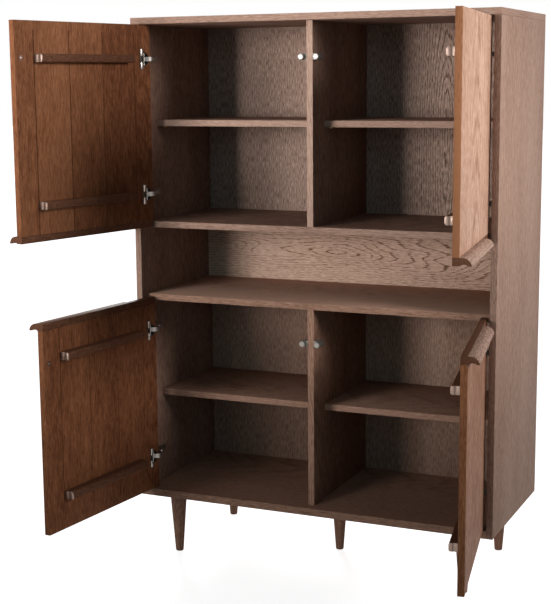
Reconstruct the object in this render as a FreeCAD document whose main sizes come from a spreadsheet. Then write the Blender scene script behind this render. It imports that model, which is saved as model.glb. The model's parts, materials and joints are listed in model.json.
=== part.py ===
import FreeCAD, Part
import math
import os
import re

import Sketcher
from FreeCAD import Placement, Rotation, Vector

# Tall cabinet on turned legs: two pairs of inset doors above and below an open niche.
# Frame: X is the width, Y the depth with the front at low Y, Z up.
# The origin is on the floor, under the middle of the centre leg.

SIZES = {
    # carcass
    "carcass_width": 1000,
    "carcass_depth": 445,
    "carcass_height": 1300,
    "board": 17,
    "bottom_board": 20,
    "lower_room": 526,
    "niche_room": 182,
    "board_setback": 28,
    "thin_back": 6,
    "back_inset": 19,
    "groove_depth": 6,
    "niche_back_inset": 45,
    # shelves on pins
    "shelf_setback": 102,
    "shelf_play": 1,
    "shelf_rear_gap": 3,
    "upper_shelf_rise": 252,
    "lower_shelf_rise": 244,
    "pin_shaft_radius": 2.5,
    "pin_shaft_depth": 9,
    "pin_peg_reach": 8,
    "pin_inset_depth": 40,
    # legs
    "leg_height": 168,
    "leg_top_radius": 23,
    "leg_foot_radius": 11,
    "leg_foot_chamfer": 3,
    "leg_inset_side": 88.5,
    "front_leg_inset": 52,
    "rear_leg_inset": 44,
    "centre_leg_setback": 235,
    "bolt_radius": 4,
    "bolt_in_leg": 34,
    "bolt_in_board": 13,
    "insert_radius": 6.5,
    "insert_depth": 14,
    # dowels in the carcass joints
    "dowel_radius": 4,
    "dowel_face_depth": 12,
    "dowel_edge_depth": 18,
    "dowel_inset": 60,
    # doors
    "upper_door_cover": 14.5,
    "lower_door_cover": 10,
    "door_board": 16,
    "side_gap": 2.5,
    "meeting_gap": 3,
    "top_gap": 1.5,
    "bottom_gap": 2,
    "stile_width": 62,
    "vee_width": 2.4,
    "vee_stop": 22,
    # handle rail
    "rail_height": 18,
    "lip_start": 110,
    "lip_reach": 26,
    "lip_flat": 8,
    "lip_crown_radius": 20.5,
    "lip_tip_rise": 1.5,
    "lip_tip_width": 6,
    "grip_radius": 16,
    # battens
    "batten_start": 86,
    "batten_depth": 27,
    "batten_height": 20,
    "batten_round": 5,
    "cap_thickness": 4,
    "cap_slot_width": 5,
    "cap_slot_depth": 1.5,
    "cap_slot_from_door": 12,
    # hinges
    "hinge_inset": 89,
    "pin_inset": 15,
    "pin_depth": 8,
    "pin_radius": 1.5,
    "pin_play": 0.05,
    "cup_edge": 4,
    "cup_radius": 17.5,
    "cup_wall": 1.2,
    "cup_depth": 12,
    "flange_thickness": 1.2,
    "flange_height": 52,
    "flange_width": 16,
    "flange_offset": 11,
    "cup_screw_spacing": 42,
    "knuckle_radius": 2.5,
    "arm_thickness": 2.6,
    "arm_height": 12,
    "arm_lead": 5,
    "arm_rake_angle": 15,
    "arm_outer_bend": 16.5,
    "arm_inner_bend": 7.5,
    "arm_body_width": 9,
    "arm_body_length": 57,
    "plate_thickness": 4,
    "plate_length": 62,
    "plate_height": 16,
    "wing_height": 50,
    "wing_length": 16,
    "wing_setback": 53,
    "screw_spacing": 32,
    "screw_radius": 2,
    "screw_length": 12,
    "screw_head_radius": 4,
    "screw_head": 1.6,
    # catches
    "strike_inset": 19,
    "strike_radius": 7,
    "strike_thickness": 1.2,
    "catch_from_ceiling": 90,
    "catch_radius": 8,
    "catch_length": 32,
    "catch_play": 0.3,
    # opening angles of the doors as they stand, in degrees from closed
    "upper_left_angle": 102.5,
    "upper_right_angle": 98,
    "lower_left_angle": 95.5,
    "lower_right_angle": 100.5,
    # how far every cutting body runs past the face it cuts
    "overrun": 1,
}
PLANKS = 3

doc = FreeCAD.newDocument("tall_cabinet")
sheet = doc.addObject("Spreadsheet::Sheet", "Sizes")
for row, (alias, number) in enumerate(SIZES.items(), start=1):
    sheet.set("A%d" % row, alias)
    sheet.set("B%d" % row, str(number))
    sheet.setAlias("B%d" % row, alias)
doc.recompute()

ALIAS = re.compile(r"\b(%s)\b" % "|".join(SIZES))
nodes = []


def num(formula):
    return float(sheet.evalExpression(formula))


def bind(item, target, formula):
    item.setExpression(target, ALIAS.sub(r"Sizes.\1", formula))


def place(item, x="0", y="0", z="0"):
    bind(item, "Placement.Base.x", x)
    bind(item, "Placement.Base.y", y)
    bind(item, "Placement.Base.z", z)
    return item


def box(name, length, width, height, x="0", y="0", z="0"):
    item = doc.addObject("Part::Box", name)
    bind(item, "Length", length)
    bind(item, "Width", width)
    bind(item, "Height", height)
    return place(item, x, y, z)


def rod(name, radius, length, x="0", y="0", z="0", along="Z"):
    item = doc.addObject("Part::Cylinder", name)
    bind(item, "Radius", radius)
    bind(item, "Height", length)
    turns = {"X": Rotation(Vector(0, 1, 0), 90), "Y": Rotation(Vector(1, 0, 0), -90), "Z": Rotation()}
    item.Placement = Placement(Vector(), turns[along])
    return place(item, x, y, z)


def joined(name, parts):
    item = doc.addObject("Part::MultiFuse", name)
    item.Shapes = parts
    item.Refine = True
    return item


def group(name, parts):
    item = doc.addObject("Part::Compound", name)
    item.Links = parts
    return item


def cut(name, base, tools):
    item = doc.addObject("Part::Cut", name)
    item.Base = base
    item.Tool = tools[0] if len(tools) == 1 else group(name + "_tools", tools)
    return item


def node(item, label):
    item.Label = label
    nodes.append(item)
    return item


def outline(body, name, role, points, offset="0"):
    """Closed sketch through points (x, y), or (x, y, radius) where the next side is an arc.

    A positive radius bows to the right of the way round, a negative one to the left.
    """
    sketch = body.newObject("Sketcher::SketchObject", name)
    plane = [item for item in body.Origin.OriginFeatures if item.Role == role][0]
    sketch.AttachmentSupport = [(plane, "")]
    sketch.MapMode = "FlatFace"
    bind(sketch, "AttachmentOffset.Base.z", offset)
    spots = [Vector(num(point[0]), num(point[1]), 0) for point in points]
    firsts = []
    for index, point in enumerate(points):
        here = spots[index]
        there = spots[(index + 1) % len(spots)]
        if len(point) == 2:
            sketch.addGeometry(Part.LineSegment(here, there), False)
            firsts.append(1)
            continue
        side = there - here
        radius = num(point[2])
        rise = abs(radius) - math.sqrt(radius ** 2 - (side.Length / 2) ** 2)
        right = Vector(side.y, -side.x, 0).normalize()
        middle = (here + there) * 0.5 + right * math.copysign(rise, radius)
        sketch.addGeometry(Part.Arc(here, middle, there), False)
        firsts.append(1 if radius > 0 else 2)
    for index, point in enumerate(points):
        after = (index + 1) % len(points)
        last = 3 - firsts[index]
        sketch.addConstraint(Sketcher.Constraint("Coincident", index, last, after, firsts[after]))
        for kind, formula, spot in (("DistanceX", point[0], spots[index].x),
                                    ("DistanceY", point[1], spots[index].y)):
            tie = sketch.addConstraint(Sketcher.Constraint(kind, -1, 1, index, firsts[index], spot))
            bind(sketch, "Constraints[%d]" % tie, formula)
        if len(point) == 3:
            radius = "abs(%s)" % point[2]
            tie = sketch.addConstraint(Sketcher.Constraint("Radius", index, num(radius)))
            bind(sketch, "Constraints[%d]" % tie, radius)
    return sketch


def prism(name, points, start, length):
    """Bar along X with its section drawn in Y and Z."""
    body = doc.addObject("PartDesign::Body", name)
    sketch = outline(body, name + "_section", "YZ_Plane", points, start)
    pad = body.newObject("PartDesign::Pad", name + "_pad")
    pad.Profile = sketch
    bind(pad, "Length", length)
    body.Tip = pad
    return body


def turned(name, points):
    """Round piece about Z with its half section drawn in X and Z."""
    body = doc.addObject("PartDesign::Body", name)
    sketch = outline(body, name + "_section", "XZ_Plane", points)
    turning = body.newObject("PartDesign::Revolution", name + "_turning")
    turning.Profile = sketch
    turning.ReferenceAxis = (sketch, ["V_Axis"])
    turning.Angle = 360
    body.Tip = turning
    return body


# Places that many pieces share
FRONT = "(0 - centre_leg_setback)"
REAR = "(carcass_depth - centre_leg_setback)"
INNER = "(carcass_width / 2 - board)"
UNDERSIDE = "leg_height"
LOWER_FLOOR = "(leg_height + bottom_board)"
NICHE_FLOOR = "(leg_height + bottom_board + lower_room)"
NICHE_ROOF = "(leg_height + bottom_board + lower_room + board + niche_room)"
TOP_UNDER = "(leg_height + carcass_height - board)"
BACK_FACE = "(carcass_depth - centre_leg_setback - back_inset - thin_back)"
BOARD_DEPTH = "(carcass_depth - board_setback)"
SETBACK = "(board_setback - centre_leg_setback)"
UPPER_FLOOR_TOP = NICHE_ROOF + " + board"

# Dowels: each is a rod that both of its boards are bored for
dowels = []
bored = {}


def dowel(first, second, x, y, z, along):
    name = "dowel_%d" % (len(dowels) + 1)
    item = rod(name, "dowel_radius", "dowel_face_depth + dowel_edge_depth", x, y, z, along)
    dowels.append(item)
    for board in (first, second):
        bored.setdefault(board, []).append(item)


SIDES = (("left_side", -1), ("right_side", 1))
for front_inset, edge in ((SETBACK, 1), (REAR, -1)):
    depth = "%s + %d * dowel_inset" % (front_inset, edge)
    for side, hand in SIDES:
        low = {1: INNER + " - dowel_edge_depth", -1: "0 - %s - dowel_face_depth" % INNER}[hand]
        dowel("bottom_panel", side, low, depth, UNDERSIDE + " + bottom_board / 2", "X")
        dowel("niche_floor", side, low, depth, NICHE_FLOOR + " + board / 2", "X")
        dowel("upper_floor", side, low, depth, NICHE_ROOF + " + board / 2", "X")
        centre = "%d * (%s + board / 2)" % (hand, INNER)
        dowel("top_panel", side, centre, depth, TOP_UNDER + " - dowel_edge_depth", "Z")
for depth in (SETBACK + " + dowel_inset", BACK_FACE + " - dowel_inset"):
    dowel("lower_partition", "bottom_panel", "0", depth, LOWER_FLOOR + " - dowel_face_depth", "Z")
    dowel("lower_partition", "niche_floor", "0", depth, NICHE_FLOOR + " - dowel_edge_depth", "Z")
    dowel("upper_partition", "upper_floor", "0", depth, UPPER_FLOOR_TOP + " - dowel_face_depth", "Z")
    dowel("upper_partition", "top_panel", "0", depth, TOP_UNDER + " - dowel_edge_depth", "Z")

# Shelf pins: four under each shelf, bored into the side and the partition
SHELVES = (
    ("upper_left_shelf", -1, UPPER_FLOOR_TOP + " + upper_shelf_rise", "left_side", "upper_partition"),
    ("upper_right_shelf", 1, UPPER_FLOOR_TOP + " + upper_shelf_rise", "right_side", "upper_partition"),
    ("lower_left_shelf", -1, LOWER_FLOOR + " + lower_shelf_rise", "left_side", "lower_partition"),
    ("lower_right_shelf", 1, LOWER_FLOOR + " + lower_shelf_rise", "right_side", "lower_partition"),
)
SHELF_FRONT = "(shelf_setback - centre_leg_setback)"
SHELF_DEPTH = "(%s - %s - shelf_rear_gap)" % (BACK_FACE, SHELF_FRONT)
shelf_pins = []
opposite = {}
for shelf, hand, height, side, partition in SHELVES:
    level = height + " - pin_shaft_radius"
    for depth in (SHELF_FRONT + " + pin_inset_depth",
                  "%s + %s - pin_inset_depth" % (SHELF_FRONT, SHELF_DEPTH)):
        for board, wall, way in ((side, "%d * %s" % (hand, INNER), hand),
                                 (partition, "%d * board / 2" % hand, -hand)):
            name = "shelf_pin_%d" % (len(shelf_pins) + 1)
            low = "%s - %s" % (wall, {1: "pin_peg_reach", -1: "pin_shaft_depth"}[way])
            shelf_pins.append(rod(name, "pin_shaft_radius", "pin_shaft_depth + pin_peg_reach",
                                  low, depth, level, "X"))
            opposite.setdefault(board, []).append(shelf_pins[-1])

# Legs: turned taper with a bolt in the top, screwed into an insert in the bottom panel
LEGS = (
    ("front_left_leg", "leg_inset_side - carcass_width / 2", FRONT + " + front_leg_inset"),
    ("front_right_leg", "carcass_width / 2 - leg_inset_side", FRONT + " + front_leg_inset"),
    ("rear_left_leg", "leg_inset_side - carcass_width / 2", REAR + " - rear_leg_inset"),
    ("rear_right_leg", "carcass_width / 2 - leg_inset_side", REAR + " - rear_leg_inset"),
    ("centre_leg", "0", "0"),
)
LEG_SECTION = (
    ("0", "0"),
    ("leg_foot_radius - leg_foot_chamfer", "0"),
    ("leg_foot_radius", "leg_foot_chamfer"),
    ("leg_top_radius", "leg_height"),
    ("bolt_radius", "leg_height"),
    ("bolt_radius", "leg_height - bolt_in_leg"),
    ("0", "leg_height - bolt_in_leg"),
)
bolts = []
inserts = []
for leg, x, y in LEGS:
    node(place(turned(leg, LEG_SECTION), x, y), leg)
    bolts.append(rod(leg + "_bolt", "bolt_radius", "bolt_in_leg + bolt_in_board",
                     x, y, UNDERSIDE + " - bolt_in_leg"))
    sleeve = rod(leg + "_sleeve", "insert_radius", "insert_depth", x, y, UNDERSIDE)
    bore = rod(leg + "_bore", "bolt_radius", "insert_depth + 2 * overrun", x, y, UNDERSIDE + " - overrun")
    inserts.append(cut(leg + "_insert", sleeve, [bore]))
node(group("bolts", bolts), "leg_bolts")
node(group("inserts", inserts), "leg_inserts")
insert_holes = [item.Base for item in inserts]

# Hinges: the place of each pin and the heights of the two hinges of each door
PIN_X = "(%s - side_gap - pin_inset)" % INNER
PIN_Y = "(pin_depth - centre_leg_setback)"
UPPER_DOOR_BASE = UPPER_FLOOR_TOP + " - upper_door_cover"
LOWER_DOOR_BASE = LOWER_FLOOR + " + bottom_gap"
UPPER_DOOR_HEIGHT = "(%s - top_gap - (%s))" % (TOP_UNDER, UPPER_DOOR_BASE)
LOWER_DOOR_HEIGHT = "(%s + lower_door_cover - (%s))" % (NICHE_FLOOR, LOWER_DOOR_BASE)
DOORS = (
    ("upper_left", 1, UPPER_DOOR_BASE, UPPER_DOOR_HEIGHT, "upper_left_angle"),
    ("upper_right", -1, UPPER_DOOR_BASE, UPPER_DOOR_HEIGHT, "upper_right_angle"),
    ("lower_left", 1, LOWER_DOOR_BASE, LOWER_DOOR_HEIGHT, "lower_left_angle"),
    ("lower_right", -1, LOWER_DOOR_BASE, LOWER_DOOR_HEIGHT, "lower_right_angle"),
)


def arm_section(hand):
    """Bent strip, from the pin round the door's edge to the bar on the mounting plate."""
    lean = {"along": "cos(arm_rake_angle * 1deg)", "up": "sin(arm_rake_angle * 1deg)"}
    hub_x = "arm_lead * {along} - arm_outer_bend * {up}".format(**lean)
    hub_y = "arm_lead * {up} + arm_outer_bend * {along}".format(**lean)
    end_x = "0 - pin_inset - side_gap + plate_thickness + arm_body_width / 2"
    sides = []
    for shift in ("arm_thickness / 2", "(0 - arm_thickness / 2)"):
        foot = ("%s * %s" % (shift, lean["up"]), "0 - %s * %s" % (shift, lean["along"]))
        sides.append((
            foot,
            ("%s + arm_lead * %s" % (foot[0], lean["along"]), "%s + arm_lead * %s" % (foot[1], lean["up"])),
            ("%s + arm_outer_bend + %s" % (hub_x, shift), hub_y),
            ("%s + arm_outer_bend - arm_inner_bend" % hub_x, "%s + arm_inner_bend + %s" % (hub_y, shift)),
            (end_x, "%s + arm_inner_bend + %s" % (hub_y, shift)),
        ))
    far, near = sides
    half = "arm_thickness / 2"
    trip = (
        far[0],
        far[1] + ("arm_outer_bend + " + half,),
        far[2] + ("arm_inner_bend + " + half,),
        far[3],
        far[4],
        near[4],
        near[3] + ("%s - arm_inner_bend" % half,),
        near[2] + ("%s - arm_outer_bend" % half,),
        near[1],
        near[0],
    )
    if hand > 0:
        return trip
    mirrored = []
    for point in trip:
        mirrored.append(("0 - (%s)" % point[0], point[1]) + tuple("0 - (%s)" % bend for bend in point[2:]))
    return mirrored


def hinge_arm(name, hand, level):
    """Arm with its knuckle and its bar, bored for the pin."""
    body = doc.addObject("PartDesign::Body", name + "_strip")
    pad = body.newObject("PartDesign::Pad", name + "_strip_pad")
    pad.Profile = outline(body, name + "_strip_section", "XY_Plane", arm_section(hand))
    bind(pad, "Length", "arm_height")
    body.Tip = pad
    knuckle = rod(name + "_knuckle", "knuckle_radius", "arm_height")
    reach = "(pin_inset + side_gap - plate_thickness)"
    bar_front = ("arm_lead * sin(arm_rake_angle * 1deg)"
                 " + arm_outer_bend * cos(arm_rake_angle * 1deg) + arm_inner_bend")
    bar = box(name + "_bar", "arm_body_width", "arm_body_length", "arm_height",
              "0 - " + reach if hand > 0 else reach + " - arm_body_width",
              bar_front + " - arm_thickness / 2")
    bore = rod(name + "_bore", "pin_radius", "arm_height + 2 * overrun", z="0 - overrun")
    arm = cut(name, joined(name + "_blank", [body, knuckle, bar]), [bore])
    return place(arm, "%d * %s" % (-hand, PIN_X), PIN_Y, level + " - arm_height / 2")


screw_holes = {}
plates = []
pins = []
screws = []
for door, hand, base, tall, _angle in DOORS:
    side = {1: "left_side", -1: "right_side"}[hand]
    arms = []
    for index, height in enumerate((tall + " - hinge_inset", "hinge_inset"), start=1):
        name = "%s_hinge_%d" % (door, index)
        level = "%s + %s" % (base, height)
        arms.append(hinge_arm(name + "_arm", hand, level))
        half = "sqrt(cup_radius ^ 2 - (cup_edge + cup_radius - pin_inset + pin_radius) ^ 2)"
        pins.append(rod(name + "_pin", "pin_radius", "2 * " + half,
                        "%d * %s" % (-hand, PIN_X), PIN_Y, "%s - %s" % (level, half)))
        wall = "%d * (%s - plate_thickness)" % (-hand, INNER)
        low = wall if hand < 0 else wall + " - plate_thickness"
        rear = "%s + wing_setback" % FRONT
        strip = box(name + "_strip", "plate_thickness", "plate_length", "plate_height", low,
                    "%s - wing_length / 2" % rear, level + " - plate_height / 2")
        wings = box(name + "_wings", "plate_thickness", "wing_length", "wing_height", low,
                    "%s - wing_length / 2" % rear, level + " - wing_height / 2")
        plate = joined(name + "_plate_blank", [strip, wings])
        shanks = []
        for end in (-1, 1):
            at = "%s + %d * screw_spacing / 2" % (level, end)
            tag = "%s_screw_%d" % (name, len(screws) + 1)
            reach = "screw_length + plate_thickness"
            inward = wall if hand < 0 else "%s - (%s)" % (wall, reach)
            shank = rod(tag + "_shank", "screw_radius", reach, inward, rear, at, "X")
            seat = wall + " - screw_head" if hand < 0 else wall
            head = rod(tag + "_head", "screw_head_radius", "screw_head", seat, rear, at, "X")
            shanks.append(shank)
            screws.append(joined(tag, [shank, head]))
        plates.append(cut(name + "_plate", plate, shanks))
        screw_holes.setdefault(side, []).extend(shanks)
    node(group(door + "_arms", arms), door + "_hinge_arms")
node(group("plates", plates), "hinge_mounting_plates")
node(group("pins", pins), "hinge_pins")
node(group("screws", screws), "hinge_plate_screws")
node(group("dowels", dowels), "dowels")
node(group("pegs", shelf_pins), "shelf_pins")

# Boards of the carcass
GROOVE_WIDTH = "thin_back"
side_height = "carcass_height - board"
for side, hand in SIDES:
    low = {1: INNER, -1: "0 - carcass_width / 2"}[hand]
    blank = box(side + "_blank", "board", "carcass_depth", side_height, low, FRONT, UNDERSIDE)
    mouth = {1: INNER + " - overrun", -1: "0 - %s - groove_depth" % INNER}[hand]
    groove = box(side + "_groove", "groove_depth + overrun", GROOVE_WIDTH, side_height + " + 2 * overrun",
                 mouth, BACK_FACE, UNDERSIDE + " - overrun")
    node(cut(side + "_board", blank, [groove] + bored[side] + opposite[side] + screw_holes[side]), side)

WIDE = "2 * " + INNER
BACK_WIDE = "2 * %s + 2 * groove_depth" % INNER
BACK_LOW = "0 - %s - groove_depth" % INNER
blank = box("top_blank", "carcass_width", "carcass_depth", "board",
            "0 - carcass_width / 2", FRONT, TOP_UNDER)
groove = box("top_groove", BACK_WIDE, GROOVE_WIDTH, "groove_depth + overrun", BACK_LOW, BACK_FACE,
             TOP_UNDER + " - overrun")
node(cut("top_board", blank, [groove] + bored["top_panel"]), "top_panel")

blank = box("bottom_blank", WIDE, "carcass_depth", "bottom_board",
            "0 - " + INNER, FRONT, UNDERSIDE)
groove = box("bottom_groove", WIDE + " + 2 * overrun", GROOVE_WIDTH, "groove_depth + overrun",
             "0 - %s - overrun" % INNER, BACK_FACE, LOWER_FLOOR + " - groove_depth")
node(cut("bottom_board_panel", blank, [groove] + bored["bottom_panel"] + insert_holes), "bottom_panel")

for floor, level, groove_low in (("niche_floor", NICHE_FLOOR, NICHE_FLOOR + " - overrun"),
                                 ("upper_floor", NICHE_ROOF, UPPER_FLOOR_TOP + " - groove_depth")):
    blank = box(floor + "_blank", WIDE, BOARD_DEPTH, "board", "0 - " + INNER, SETBACK, level)
    groove = box(floor + "_groove", WIDE + " + 2 * overrun", GROOVE_WIDTH, "groove_depth + overrun",
                 "0 - %s - overrun" % INNER, BACK_FACE, groove_low)
    node(cut(floor + "_board", blank, [groove] + bored[floor]), floor)

for partition, low, high in (("lower_partition", LOWER_FLOOR, NICHE_FLOOR),
                             ("upper_partition", UPPER_FLOOR_TOP, TOP_UNDER)):
    blank = box(partition + "_blank", "board", "%s - %s" % (BACK_FACE, SETBACK), "%s - (%s)" % (high, low),
                "0 - board / 2", SETBACK, low)
    node(cut(partition + "_board", blank, bored[partition] + opposite[partition]), partition)

for back, low, high in (("lower_back", LOWER_FLOOR, NICHE_FLOOR),
                        ("upper_back", UPPER_FLOOR_TOP, TOP_UNDER)):
    node(box(back + "_panel", BACK_WIDE, "thin_back", "%s - (%s) + 2 * groove_depth" % (high, low),
             BACK_LOW, BACK_FACE, low + " - groove_depth"), back)
node(box("niche_back_panel", WIDE, "board", "niche_room", "0 - " + INNER,
         REAR + " - niche_back_inset", NICHE_FLOOR + " + board"), "niche_back")

for shelf, hand, height, side, partition in SHELVES:
    low = {1: "board / 2 + shelf_play", -1: "shelf_play - %s" % INNER}[hand]
    node(box(shelf + "_board", INNER + " - board / 2 - 2 * shelf_play", SHELF_DEPTH, "board",
             low, SHELF_FRONT, height), shelf)

# Doors: drawn closed, about the hinge pin at the height of the door's bottom edge
DOOR_WIDTH = "(%s - side_gap - meeting_gap / 2)" % INNER
OUTER_FACE = "(0 - pin_depth)"
INNER_FACE = "(door_board - pin_depth)"
PLANK = "((%s - 2 * stile_width) / %d)" % (DOOR_WIDTH, PLANKS)
CUP_CENTRE = "(cup_edge + cup_radius)"


def across(hand, start, length="0"):
    """Low X of a piece that starts at a distance from the hinge edge."""
    if hand > 0:
        return "(%s) - pin_inset" % start
    return "pin_inset - (%s) - (%s)" % (start, length)


def hang(item, hand, base, angle):
    """Seat a door piece on its hinge axis, swung open by the angle."""
    item.Placement = Placement(Vector(), Rotation(Vector(0, 0, -hand), 1))
    bind(item, "Placement.Rotation.Angle", angle)
    return place(item, "%d * %s" % (-hand, PIN_X), PIN_Y, base)


def batten_section(level):
    top = level + " + batten_height / 2"
    bottom = level + " - batten_height / 2"
    out = INNER_FACE + " + batten_depth"
    return (
        (INNER_FACE, bottom),
        (out + " - batten_round", bottom, "batten_round"),
        (out, bottom + " + batten_round"),
        (out, top + " - batten_round", "batten_round"),
        (out + " - batten_round", top),
        (INNER_FACE, top),
    )


RAIL_SECTION = (
    (INNER_FACE, "0"),
    (INNER_FACE, "rail_height"),
    (OUTER_FACE, "rail_height"),
    (OUTER_FACE, "0"),
)
LIP_END = OUTER_FACE + " - lip_reach"
LIP_SECTION = (
    (INNER_FACE, "0"),
    (INNER_FACE, "rail_height"),
    (OUTER_FACE + " - lip_flat", "rail_height", "lip_crown_radius"),
    (LIP_END, "lip_tip_rise"),
    (LIP_END, "0"),
    (LIP_END + " + lip_tip_width", "0", "0 - grip_radius"),
    (OUTER_FACE, "0"),
)

for door, hand, base, tall, angle in DOORS:
    upper = door.startswith("upper")
    hinge_heights = (tall + " - hinge_inset", "hinge_inset")
    leaf_base = "rail_height" if upper else "0"
    rail_base = "0" if upper else tall + " - rail_height"
    panel_height = tall + " - rail_height"
    leaf = box(door + "_leaf_blank", DOOR_WIDTH, "door_board", panel_height,
               across(hand, "0", DOOR_WIDTH), OUTER_FACE, leaf_base)
    tools = []
    for line in range(PLANKS + 1):
        spot = across(hand, "stile_width + %d * %s" % (line, PLANK))
        side = "vee_width / sqrt(2)"
        start = leaf_base + " - overrun" if upper else leaf_base + " + vee_stop"
        vee = box("%s_vee_%d" % (door, line + 1), side, side, panel_height + " - vee_stop + overrun",
                  spot, INNER_FACE + " - vee_width / 2", start)
        vee.Placement = Placement(vee.Placement.Base, Rotation(Vector(0, 0, 1), 45))
        tools.append(vee)
    cups = []
    cup_screws = []
    for index, height in enumerate(hinge_heights, start=1):
        name = "%s_cup_%d" % (door, index)
        centre = across(hand, CUP_CENTRE)
        outer = rod(name + "_outer", "cup_radius", "cup_depth",
                    centre, INNER_FACE + " - cup_depth", height, "Y")
        tools.append(outer)
        wing = box(name + "_flange", "flange_width", "flange_thickness", "flange_height",
                   across(hand, CUP_CENTRE + " + flange_offset - flange_width / 2", "flange_width"),
                   INNER_FACE, height + " - flange_height / 2")
        hollow = rod(name + "_hollow", "cup_radius - cup_wall",
                     "cup_depth - cup_wall + flange_thickness + overrun",
                     centre, INNER_FACE + " - cup_depth + cup_wall", height, "Y")
        eye = rod(name + "_eye", "pin_radius + pin_play", "2 * cup_radius",
                  z=height + " - cup_radius")
        holes = [hollow, eye]
        for end in (-1, 1):
            tag = "%s_screw_%d" % (name, len(holes) - 1)
            spot = across(hand, CUP_CENTRE + " + flange_offset")
            at = "%s + %d * cup_screw_spacing / 2" % (height, end)
            shank = rod(tag + "_shank", "screw_radius", "screw_length",
                        spot, INNER_FACE + " + flange_thickness - screw_length", at, "Y")
            head = rod(tag + "_head", "screw_head_radius", "screw_head",
                       spot, INNER_FACE + " + flange_thickness", at, "Y")
            holes.append(rod(tag + "_hole", "screw_radius + pin_play", "flange_thickness + 2 * overrun",
                             spot, INNER_FACE + " - overrun", at, "Y"))
            tools.append(shank)
            cup_screws.append(joined(tag, [shank, head]))
        cups.append(cut(name, joined(name + "_blank", [outer, wing]), holes))
    node(hang(cut(door + "_panel", leaf, tools), hand, base, angle), door + "_door_panel")
    node(hang(group(door + "_cups", cups + cup_screws), hand, base, angle), door + "_hinge_cups")

    plain = prism(door + "_rail_bar", [(y, "%s + %s" % (rail_base, z)) for y, z in RAIL_SECTION],
                  across(hand, "0", "lip_start"), "lip_start")
    shaped = prism(door + "_rail_lip",
                   [(point[0], "%s + %s" % (rail_base, point[1])) + point[2:] for point in LIP_SECTION],
                   across(hand, "lip_start", DOOR_WIDTH + " - lip_start"), DOOR_WIDTH + " - lip_start")
    node(hang(joined(door + "_rail", [plain, shaped]), hand, base, angle), door + "_handle_rail")

    batten_end = DOOR_WIDTH + " - stile_width - cap_thickness"
    caps = []
    for word, height in zip(("top", "bottom"), hinge_heights):
        length = "(%s - batten_start)" % batten_end
        batten = prism("%s_%s_batten_bar" % (door, word), batten_section(height),
                       across(hand, "batten_start", length), length)
        node(hang(batten, hand, base, angle), "%s_%s_batten" % (door, word))
        blank = prism("%s_%s_cap_blank" % (door, word), batten_section(height),
                      across(hand, batten_end, "cap_thickness"), "cap_thickness")
        slot_start = batten_end + " + cap_thickness - cap_slot_depth"
        slot = box("%s_%s_cap_slot" % (door, word), "cap_slot_depth + overrun", "cap_slot_width",
                   "batten_height + 2 * overrun", across(hand, slot_start, "cap_slot_depth + overrun"),
                   INNER_FACE + " + cap_slot_from_door", height + " - batten_height / 2 - overrun")
        caps.append(cut("%s_%s_cap" % (door, word), blank, [slot]))
    node(hang(group(door + "_caps", caps), hand, base, angle), door + "_batten_caps")

    ceiling = TOP_UNDER if upper else NICHE_FLOOR
    strike = rod(door + "_strike", "strike_radius", "strike_thickness",
                 across(hand, DOOR_WIDTH + " - strike_inset"), INNER_FACE,
                 "%s - catch_from_ceiling - (%s)" % (ceiling, base), "Y")
    node(hang(group(door + "_strikes", [strike]), hand, base, angle), door + "_catch_strike")

# Magnetic catches on the partitions, facing the strikes of the closed doors
CATCH_X = "(meeting_gap / 2 + strike_inset)"
CATCH_FACE = "(%s + door_board + strike_thickness + catch_play)" % FRONT
catches = []
for hand in (-1, 1):
    for word, ceiling in (("upper", TOP_UNDER), ("lower", NICHE_FLOOR)):
        name = "%s_catch_%d" % (word, len(catches) + 1)
        level = ceiling + " - catch_from_ceiling"
        barrel = rod(name + "_barrel", "catch_radius", "catch_length", "%d * %s" % (hand, CATCH_X),
                     CATCH_FACE, level, "Y")
        reach = "(%s - board / 2)" % CATCH_X
        low = "board / 2" if hand > 0 else "0 - board / 2 - %s" % reach
        seat = "%s - %s" % (SETBACK, CATCH_FACE)
        block = box(name + "_block", reach, "catch_length - (%s)" % seat, "2 * catch_radius",
                    low, SETBACK, level + " - catch_radius")
        catches.append(joined(name, [barrel, block]))
node(group("catches", catches), "magnetic_catches")

doc.recompute()

# Nothing is written unless every feature computed and every piece is sound
for item in doc.Objects:
    if "Invalid" in item.State or "Error" in item.State:
        raise RuntimeError("%s did not compute: %s" % (item.Name, item.State))
labels = [item.Label for item in nodes]
assert len(set(labels)) == len(labels) <= 60
os.makedirs("parts", exist_ok=True)
for item in nodes:
    shape = item.Shape
    if shape.isNull() or not shape.isValid() or not shape.Solids:
        raise RuntimeError("%s has no sound solid" % item.Label)
    shape.exportStep("parts/%s.step" % item.Label)
print("%d nodes, %d solids" % (len(nodes), sum(len(item.Shape.Solids) for item in nodes)))
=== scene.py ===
# %% [markdown]
# # A tall cabinet in dark stained oak
#
# This lesson dresses a tall cabinet on turned legs: four inset doors that stand open, an open niche in
# the middle, shelves, concealed hinges and magnetic catches. The construction model already has every
# board at its real size, so we load it as a fixed frame and work on what makes it look real: eased edges,
# grain that follows each board, satin stain, bright hinge metal, and soft studio light.

import json
import math

import bpy
import numpy as np
from mathutils import Matrix, Vector

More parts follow.
